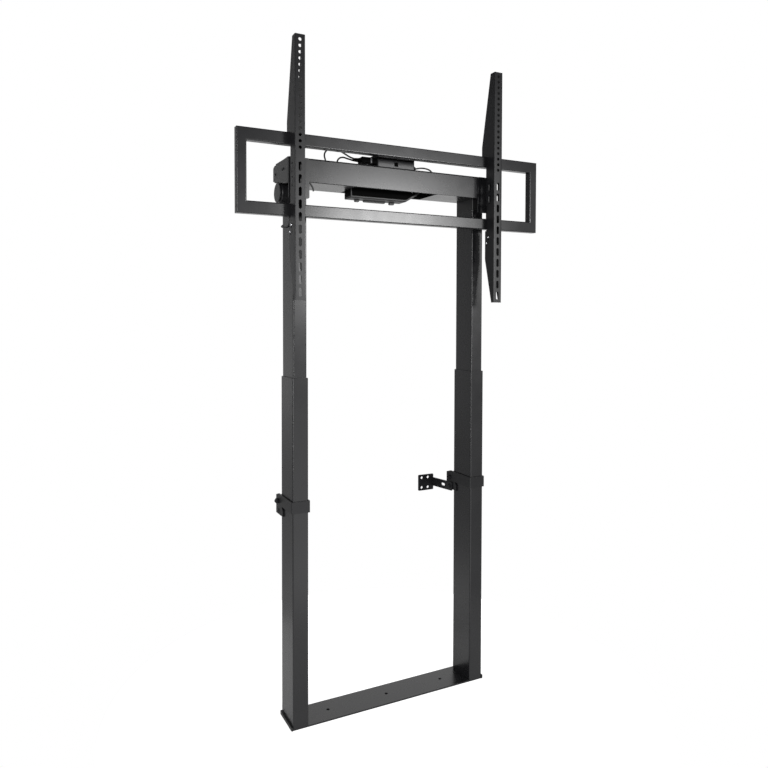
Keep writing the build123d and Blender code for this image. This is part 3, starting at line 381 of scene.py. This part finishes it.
def lead(name, points, node):
    """One lead as a smooth spline through its control points."""
    curve = bpy.data.curves.new(name, "CURVE")
    curve.dimensions = "3D"
    curve.bevel_depth = LEAD_RADIUS_MM * MM
    curve.bevel_resolution = 5
    curve.resolution_u = 12
    curve.use_fill_caps = True
    spline = curve.splines.new("NURBS")
    spline.points.add(len(points) - 1)
    for control, point in zip(spline.points, points):
        control.co = (*mm(*point), 1.0)
    spline.order_u = 3
    spline.use_endpoint_u = True
    thing = bpy.data.objects.new(name, curve)
    SCENE.collection.objects.link(thing)
    curve.materials.append(PVC_LEAD)
    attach(thing, "carriage")
    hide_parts(node)


lead("left_motor_lead", MOTOR_LEAD + LEFT_END, "motor_lead_left")
lead("right_motor_lead", [(-x, y, z) for x, y, z in MOTOR_LEAD] + RIGHT_END, "motor_lead_right")
lead("supply_lead", POWER_LEAD, "power_lead")

# Small pieces: each shape is made along +Z and then stood at its place. Their sizes are in millimetres.
AXES = {"x": Matrix.Rotation(math.pi / 2, 4, "Y"), "-x": Matrix.Rotation(-math.pi / 2, 4, "Y"),
        "-y": Matrix.Rotation(math.pi / 2, 4, "X"), "z": Matrix.Identity(4)}
ROUND_STEPS, SMALL_STEPS, FINE_STEPS, HEX = 32, 24, 20, 6
SMOOTH_DEG, FOLD_SMOOTH_DEG = 35, 8
FLAT_DEG, SHARP_DEG = 0.5, 25
MERGE_M = 1e-6


def stand(mesh, verts, centre, axis):
    """Turns new vertices, made along +Z, to an axis and moves them to a centre."""
    bmesh.ops.transform(mesh, verts=verts, matrix=Matrix.Translation(mm(*centre)) @ AXES[axis])


def turned(mesh, profile, centre, axis, steps=ROUND_STEPS):
    """A turned shape from its profile of radius and height."""
    old = set(mesh.verts)
    line = [mesh.verts.new(mm(r, 0, h)) for r, h in profile]
    edges = [mesh.edges.new(pair) for pair in zip(line, line[1:])]
    bmesh.ops.spin(mesh, geom=line + edges, cent=(0, 0, 0), axis=(0, 0, 1), angle=math.tau, steps=steps,
                   use_merge=True, use_duplicate=False)
    bmesh.ops.remove_doubles(mesh, verts=[v for v in mesh.verts if v not in old], dist=MERGE_M)
    stand(mesh, [v for v in mesh.verts if v not in old], centre, axis)


def loop(mesh, radius, height, sides):
    """A ring of vertices at a height, and its edges."""
    verts = bmesh.ops.create_circle(mesh, segments=sides, radius=radius * MM,
                                    matrix=Matrix.Translation(mm(0, 0, height)))["verts"]
    ring = set(verts)
    return verts, list({e for v in verts for e in v.link_edges if ring.issuperset(e.verts)})


def stacked(mesh, rings, centre, axis):
    """A closed shape through rings of (radius, height, sides); both ends are capped."""
    made = [loop(mesh, *ring) for ring in rings]
    for (_, low), (_, high) in zip(made, made[1:]):
        bmesh.ops.bridge_loops(mesh, edges=low + high)
    for _, edges in (made[0], made[-1]):
        bmesh.ops.contextual_create(mesh, geom=edges)
    stand(mesh, [v for verts, _ in made for v in verts], centre, axis)


def socket_screw(mesh, centre, axis, radius, height, socket):
    """Head of a socket screw: rounded rim, and a hexagon sunk a little more than halfway into its top."""
    rim = min(0.6, height * 0.2)
    outside = [(radius, 0), (radius, height - rim), (radius - rim * 0.35, height - rim * 0.3),
               (radius - rim, height)]
    hexagon = [(socket, height, HEX), (socket * 0.97, height * 0.45, HEX)]
    stacked(mesh, [(r, h, SMALL_STEPS) for r, h in outside] + hexagon, centre, axis)


def hexagon_nut(mesh, centre, axis, corner_radius, height):
    """A nut with both faces chamfered."""
    edge, face_radius = height * 0.12, corner_radius * 0.9
    stacked(mesh, [(face_radius, 0, HEX), (corner_radius, edge, HEX), (corner_radius, height - edge, HEX),
                   (face_radius, height, HEX)], centre, axis)


def thread(mesh, centre, axis, radius, length, pitch):
    """A screw's end with the ridges of its thread and a chamfered tip."""
    turns = int(length / pitch)
    root = radius * 0.90
    ridges = [point for i in range(turns) for point in ((root, i * pitch), (radius, (i + 0.5) * pitch))]
    tip = [(radius * 0.88, turns * pitch), (radius * 0.75, length), (0, length)]
    turned(mesh, [(0, 0)] + ridges + tip, centre, axis, SMALL_STEPS)


def bevelled(mesh, geom, offset, segments, affect="EDGES"):
    """Rounds edges or corners."""
    bmesh.ops.bevel(mesh, geom=geom, offset=offset * MM, offset_type="OFFSET", affect=affect,
                    segments=segments, profile=0.5, material=-1, clamp_overlap=True)


def block(mesh, low, high, edge, segments=2):
    """A box between two corners, with its edges rounded."""
    size = [b - a for a, b in zip(low, high)]
    middle = [(a + b) / 2 for a, b in zip(low, high)]
    made = bmesh.ops.create_cube(mesh, size=1.0, matrix=Matrix.Translation(mm(*middle))
                                 @ Matrix.Diagonal((*mm(*size), 1.0)))
    bevelled(mesh, list({e for v in made["verts"] for e in v.link_edges}), edge, segments)


def drawn(mesh, faces, steps):
    """Draws a flat section out by each step in turn, which leaves a closed solid."""
    for step in steps:
        rims = list({e for f in faces for e in f.edges})
        grown = bmesh.ops.extrude_face_region(mesh, geom=faces + rims)["geom"]
        faces = [f for f in grown if isinstance(f, bmesh.types.BMFace)]
        moved = [v for v in grown if isinstance(v, bmesh.types.BMVert)]
        bmesh.ops.translate(mesh, verts=moved, vec=mm(*step))


def piece(name, mesh, coat, body, slot, *nodes, smooth_deg=SMOOTH_DEG):
    """A finished piece that rides on a body, in place of the CAD nodes named."""
    bmesh.ops.recalc_face_normals(mesh, faces=mesh.faces[:])
    data = bpy.data.meshes.new(name)
    mesh.to_mesh(data)
    mesh.free()
    data.polygons.foreach_set("use_smooth", [True] * len(data.polygons))
    data.set_sharp_from_angle(angle=math.radians(smooth_deg))
    data.materials.append(coat)
    thing = bpy.data.objects.new(name, data)
    SCENE.collection.objects.link(thing)
    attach(thing, body)
    if nodes:
        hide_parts(*nodes)


def folded(name, node, coat, body, *folds):
    """A copy of a pressed CAD piece. Each fold is a radius, its steps, and a test of its edges' points."""
    mesh = bmesh.new()
    mesh.from_mesh(NODES[node].data)
    bmesh.ops.remove_doubles(mesh, verts=mesh.verts[:], dist=MERGE_M)
    bmesh.ops.dissolve_limit(mesh, angle_limit=math.radians(FLAT_DEG), verts=mesh.verts[:],
                             edges=mesh.edges[:])
    for radius, segments, on_fold in folds:
        edges = [e for e in mesh.edges if e.is_manifold and e.calc_face_angle(0.0) > math.radians(SHARP_DEG)
                 and all(on_fold(*(v.co / MM)) for v in e.verts)]
        bevelled(mesh, edges, radius, segments)
    piece(name, mesh, coat, body, "black_steel", node, smooth_deg=FOLD_SMOOTH_DEG)


SIDES = (("left", -1), ("right", 1))
TURN_OUT, TURN_IN = {-1: "-x", 1: "x"}, {-1: "x", 1: "-x"}
COLUMN_X, BEAM_TOP, BEAM_BOTTOM, BEAM_FACE = 268.0, 1450.0, 1390.0, -64.0
NEAR = 0.1

# The beam is folded from sheet: its front folds have a real radius, which mirrors the dim ceiling as a line.
folded("folded_drive_beam", "drive_beam", POWDER_COAT, "carriage",
       (4.0, 6, lambda x, y, z: y < BEAM_FACE + NEAR and z > BEAM_TOP - NEAR),
       (1.8, 4, lambda x, y, z: y < BEAM_FACE + NEAR and z < BEAM_BOTTOM + NEAR))

# Clamps: a socket screw with its shank and nut, and the pivot rivet with its domed head, shank and washer.
# EAR goes from the column's middle to the outer face of a clamp's ear.
CLAMP_Z = {"left": 557.0, "right": 565.0}
EAR = 24.8
BOLT_R, BOLT_Y, BOLT_UP, NUT_H = 4.0, 62.0, 9.5, 6.5
RIVET_Y, RIVET_DOWN, WASHER_OUT = 58.0, 16.5, EAR + 3.6
RIVET_L = EAR + WASHER_OUT + 4.1
BOLT_SHANK = [(0, 0), (BOLT_R, 0), (BOLT_R, 2 * EAR), (0, 2 * EAR)]
RIVET_DOME = [(0, 0), (6.5, 0), (6.4, 0.5), (5.4, 1.1), (3.6, 1.5), (0, 1.6)]
RIVET_SHANK = [(0, 0), (BOLT_R, 0), (BOLT_R, RIVET_L - 0.4), (BOLT_R - 0.4, RIVET_L), (0, RIVET_L)]
WASHER = [(BOLT_R, 0), (6.5, 0), (6.5, 1.4), (6.3, 1.6), (BOLT_R, 1.6), (BOLT_R, 0)]
for side, s in SIDES:
    x, y, z = s * COLUMN_X, BOLT_Y, CLAMP_Z[side] + BOLT_UP
    bolts = bmesh.new()
    socket_screw(bolts, (x - s * EAR, y, z), TURN_IN[s], radius=6.5, height=5.0, socket=2.6)
    turned(bolts, BOLT_SHANK, (x - s * EAR, y, z), TURN_OUT[s], SMALL_STEPS)
    hexagon_nut(bolts, (x + s * EAR, y, z), TURN_OUT[s], corner_radius=7.28, height=NUT_H)
    thread(bolts, (x + s * (EAR + NUT_H), y, z), TURN_OUT[s], radius=BOLT_R, length=2.5, pitch=1.0)
    y, z = RIVET_Y, CLAMP_Z[side] - RIVET_DOWN
    turned(bolts, RIVET_DOME, (x + s * EAR, y, z), TURN_OUT[s])
    turned(bolts, RIVET_SHANK, (x + s * EAR, y, z), TURN_IN[s], SMALL_STEPS)
    turned(bolts, WASHER, (x - s * WASHER_OUT, y, z), TURN_IN[s])
    piece("clamp_bolt_set_" + side, bolts, BLACK_BOLTS, "clamp_" + side, "black_bolts",
          "clamp_bolts_" + side)

# Lock screws of the TV brackets: pan heads with a square recess, and their threaded pins
BRACKET_X = {"left": -296.5, "right": 280.0}
BRACKET_FACE, BRACKET_W = -123.0, 26.0
LOCK_PLACES = ((-96.0, 1278.0), (-88.0, 1262.0))
PAN_HEAD = [(3.2, 0, FINE_STEPS), (3.15, 0.9, FINE_STEPS), (2.7, 1.8, FINE_STEPS), (1.8, 2.3, FINE_STEPS),
            (1.3, 2.4, FINE_STEPS), (1.0, 2.35, 4), (0.8, 1.2, 4)]
for side, x in BRACKET_X.items():
    flange = x - BRACKET_W / 2 - 0.3
    screws = bmesh.new()
    for y, z in LOCK_PLACES:
        stacked(screws, PAN_HEAD, (flange, y, z), "-x")
        thread(screws, (flange, y, z), "x", radius=2.0, length=8.1, pitch=0.7)
    piece("lock_screw_set_" + side, screws, ZINC, "bracket_" + side, "zinc", "lock_screws_" + side)

# The brackets are pressed channels with rounded folds beside their perforated face.
for side, middle in BRACKET_X.items():
    folded("pressed_tv_bracket_" + side, "tv_bracket_" + side, DULL_POWDER, "bracket_" + side,
           (1.6, 4, lambda x, y, z: y < BRACKET_FACE + NEAR and abs(abs(x - middle) - BRACKET_W / 2) < NEAR))

# Four cap screws in each gear case, and three screws in each beam end plate
GEAR_CASE_OUT, END_PLATE_X = 18.0, 306.0
cap_screws, plate_screws = bmesh.new(), bmesh.new()
for side, s in SIDES:
    for y in (-30.0, -16.0):
        for z in (1368.0, 1381.0):
            socket_screw(cap_screws, (s * (COLUMN_X + GEAR_CASE_OUT), y, z), TURN_OUT[s],
                         radius=3.2, height=5.0, socket=1.4)
    for y, z in ((-27.0, 1426.0), (-17.0, 1425.0), (37.0, 1422.0)):
        socket_screw(plate_screws, (s * END_PLATE_X, y, z), TURN_OUT[s], radius=2.6, height=1.4, socket=1.2)
piece("gear_case_cap_screws", cap_screws, BLACK_BOLTS, "carriage", "black_bolts", "gear_case_screws")
piece("end_plate_screws", plate_screws, BLACK_BOLTS, "carriage", "black_bolts")

# Two plugs in the control box's left end, each with a collar and a ribbed boot, and a gland in its right end
BOX_L, BOX_R, PLUG_Z = -42.0, 71.0, 1472.0
PLUG_END, COLLAR_L, COLLAR_R = BOX_L - 46.0, BOX_L - 20.0, BOX_L - 15.5
RIBS, RIB_PITCH, BOOT_BORE, BOOT_L = 6, 3.1, 2.15, 20.0
CREST_R, CREST_TAPER, ROOT_R, ROOT_TAPER = 4.0, 0.22, 3.3, 0.20
boot = [(BOOT_BORE, 0)]
for i in range(RIBS):
    start, crest, root = i * RIB_PITCH, CREST_R - i * CREST_TAPER, ROOT_R - i * ROOT_TAPER
    boot += [(crest, start), (crest, start + 1.9), (root, start + 2.2), (root, start + 3.0)]
boot += [(2.6, BOOT_L), (BOOT_BORE, BOOT_L), (BOOT_BORE, 0)]
plugs, collars, gland = bmesh.new(), bmesh.new(), bmesh.new()
for y in (-18.0, -2.0):
    for mesh, x0, x1, half_y, half_z, edge, segments in (
            (plugs, PLUG_END, COLLAR_L, 6.0, 8.0, 2.2, 3), (plugs, COLLAR_R, BOX_L, 6.0, 8.0, 1.0, 2),
            (collars, COLLAR_L, COLLAR_R, 5.4, 7.2, 1.0, 2)):
        block(mesh, (x0, y - half_y, PLUG_Z - half_z), (x1, y + half_y, PLUG_Z + half_z), edge, segments)
    turned(plugs, boot, (PLUG_END, y, PLUG_Z), "-x", FINE_STEPS)
GLAND_PLACE = (BOX_R, -20.0, 1462.0)
stacked(gland, [(6.4, 0, HEX), (6.4, 2.6, HEX), (4.0, 2.7, HEX)], GLAND_PLACE, "x")
turned(gland, [(0, 2.6), (4.0, 2.6), (3.8, 4.6), (3.2, 5.0), (0, 5.0)], GLAND_PLACE, "x", FINE_STEPS)
piece("lead_plugs", plugs, ROUGH_ABS_IN_SHADE, "carriage", "black_plastic", "control_plugs")
piece("plug_collars", collars, GREY_NYLON, "carriage", "black_plastic")
piece("lead_gland", gland, ROUGH_ABS_IN_SHADE, "carriage", "black_plastic")

# Control box: a near-black slab in its front as painted shade of a recess, and the screws of its lid
recess_shade = bmesh.new()
block(recess_shade, (8.0, -25.4, 1462.0), (20.0, -24.0, 1473.0), 0.35)
piece("control_box_recess_shade", recess_shade, PAINTED_SHADE_SHEET, "carriage", "black_plastic")
LID_TOP = 1492.0
lid_screws = bmesh.new()
for x in (-36.0, 65.0):
    for y in (-19.0, 29.0):
        socket_screw(lid_screws, (x, y, LID_TOP), "z", radius=2.4, height=0.9, socket=1.1)
piece("control_lid_screws", lid_screws, BLACK_BOLTS, "carriage", "black_bolts")

# Supply unit: a near-black sheet of painted shade with round corners on its front, one on its left end, and
# a screw
POWER_FRONT, POWER_LEFT = -20.0, -118.0
SHADE_SHEET_T, SHADE_SHEET_LOW, SHADE_SHEET_TOP, SHADE_SHEET_L, SHADE_SHEET_R = 0.3, 1375.0, 1446.0, -115.5, 86.0
shade_sheet = bmesh.new()
corners = [(SHADE_SHEET_L, SHADE_SHEET_LOW), (47.0, SHADE_SHEET_LOW), (SHADE_SHEET_R, SHADE_SHEET_LOW + 23.0), (SHADE_SHEET_R, SHADE_SHEET_TOP),
           (SHADE_SHEET_L, SHADE_SHEET_TOP)]
shade_sheet.faces.new([shade_sheet.verts.new(mm(x, POWER_FRONT - SHADE_SHEET_T, z)) for x, z in corners])
bevelled(shade_sheet, shade_sheet.verts[:], 3.0, 3, affect="VERTICES")
drawn(shade_sheet, shade_sheet.faces[:], [(0, SHADE_SHEET_T, 0)])
block(shade_sheet, (POWER_LEFT - SHADE_SHEET_T, -17.0, SHADE_SHEET_LOW), (POWER_LEFT + 0.1, 19.0, SHADE_SHEET_TOP), 0.1, 1)
piece("supply_unit_painted_shade", shade_sheet, PAINTED_SHADE_SHEET, "carriage", "black_plastic")
unit_screw = bmesh.new()
socket_screw(unit_screw, (66.0, POWER_FRONT - SHADE_SHEET_T, 1398.0), "-y", radius=1.8, height=0.8, socket=0.8)
piece("supply_unit_screw", unit_screw, ZINC, "carriage", "zinc")

# Painted shade: a near-black strip on the beam's underside by the left gear case, standing in for a dark
# curved line there; a flat section drawn along a bow
SHADE_LINE_SECTION = ((-2.4, 0.0), (2.4, 0.0), (1.8, -1.2), (-1.8, -1.2))
SHADE_LINE_START, SHADE_LINE_RUN, SHADE_LINE_BOW, SHADE_LINE_STEPS = (-250, -60), (51, 104), 10, 12
shade_line = bmesh.new()
shade_line.faces.new([shade_line.verts.new(mm(SHADE_LINE_START[0] + dx, SHADE_LINE_START[1], BEAM_BOTTOM + dz))
                for dx, dz in SHADE_LINE_SECTION])
along = [i / SHADE_LINE_STEPS for i in range(SHADE_LINE_STEPS + 1)]
bow = [(SHADE_LINE_RUN[0] * t + SHADE_LINE_BOW * t * (1 - t), SHADE_LINE_RUN[1] * t) for t in along]
drawn(shade_line, shade_line.faces[:], [(x1 - x0, y1 - y0, 0) for (x0, y0), (x1, y1) in zip(bow, bow[1:])])
piece("beam_underside_shade_line", shade_line, BLACK_RUBBER, "carriage", "black_plastic")

# Rubber grommet where the supply lead comes up through the beam's top
GROMMET = [(4.2, -2.8), (6.6, -2.8), (6.6, 0.1), (9.4, 0.1), (9.6, 0.9), (8.8, 1.8), (6.8, 2.2), (4.8, 1.7),
           (4.2, 0.7), (4.2, -2.8)]
grommet = bmesh.new()
turned(grommet, GROMMET, (-159.0, -23.0, BEAM_TOP), "z")
piece("lead_grommet", grommet, BLACK_RUBBER, "carriage", "black_plastic")
